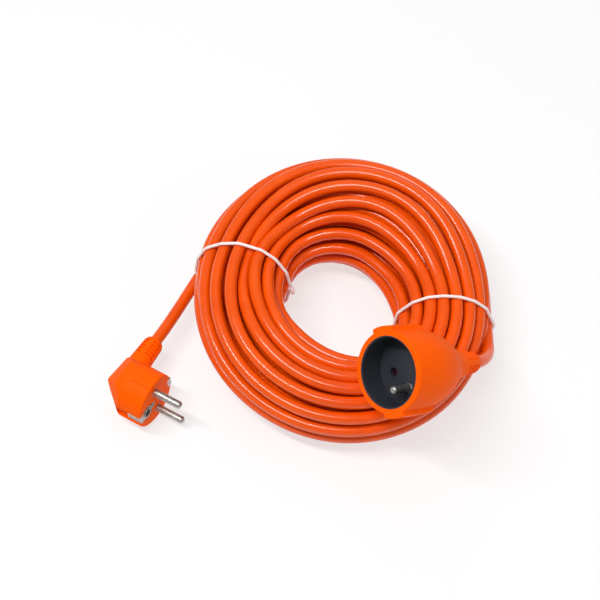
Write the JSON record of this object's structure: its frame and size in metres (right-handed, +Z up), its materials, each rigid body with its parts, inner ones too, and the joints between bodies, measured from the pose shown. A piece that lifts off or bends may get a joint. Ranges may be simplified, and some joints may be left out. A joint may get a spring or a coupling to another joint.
{
  "type": "extension cord",
  "caption": "Orange extension cord wound in a tied coil, with a right-angle earthed plug at one end and an in-line shuttered socket with an earth pin at the other.",
  "frame": {"origin": "on the floor, under the middle of the whole object's box", "axes": "+Z up; +X from the plug towards the far side of the coil; the socket hangs over the coil's edge on the -Y side, with its mouth facing -X and up"},
  "size_m": [0.2506, 0.2127, 0.1112],
  "materials": {
    "cord_sheath": "smooth orange PVC, glossy",
    "plug_shell": "moulded orange PVC, satin",
    "black_plastic": "near-black moulded nylon",
    "shutter_plastic": "dark red moulded plastic",
    "nickel": "bright nickel plating",
    "brass": "plain brass",
    "spring_steel": "drawn wire",
    "tie_wire": "white PVC over soft wire",
    "core_brown": "brown core insulation",
    "core_blue": "blue core insulation",
    "core_earth": "green and yellow core insulation"
  },
  "bodies": {
    "cord_set": {"plug_body": "plug_shell", "plug_pin_carrier": "black_plastic", "plug_pin_line": "nickel", "plug_pin_neutral": "nickel", "plug_earth_strap": "nickel", "plug_earth_sleeve": "brass", "plug_core_brown": "core_brown", "plug_core_blue": "core_blue", "plug_core_earth": "core_earth", "cord_plug_lead": "cord_sheath", "cord_coil": "cord_sheath", "cord_coil_core": "cord_sheath", "cord_socket_lead": "cord_sheath", "tie_left": "tie_wire", "tie_right": "tie_wire", "socket_shell": "plug_shell", "socket_cup": "black_plastic", "socket_floor": "black_plastic", "shutter_frame": "black_plastic", "socket_contact_carrier": "black_plastic", "socket_contact_line": "brass", "socket_contact_neutral": "brass", "socket_earth_pin": "nickel", "shutter_spring": "spring_steel", "socket_core_brown": "core_brown", "socket_core_blue": "core_blue", "socket_core_earth": "core_earth"},
    "shutter": {"socket_shutter": "shutter_plastic"}
  },
  "joints": [
    {"name": "shutter_slide", "type": "slide", "parent": "cord_set", "child": "shutter", "axis": [0.3232, 0.8191, 0.4738], "range_m": [0, 0.006], "stiffness_N_per_m": 100, "springref_m": -0.004, "deforming": ["shutter_spring"]}
  ]
}
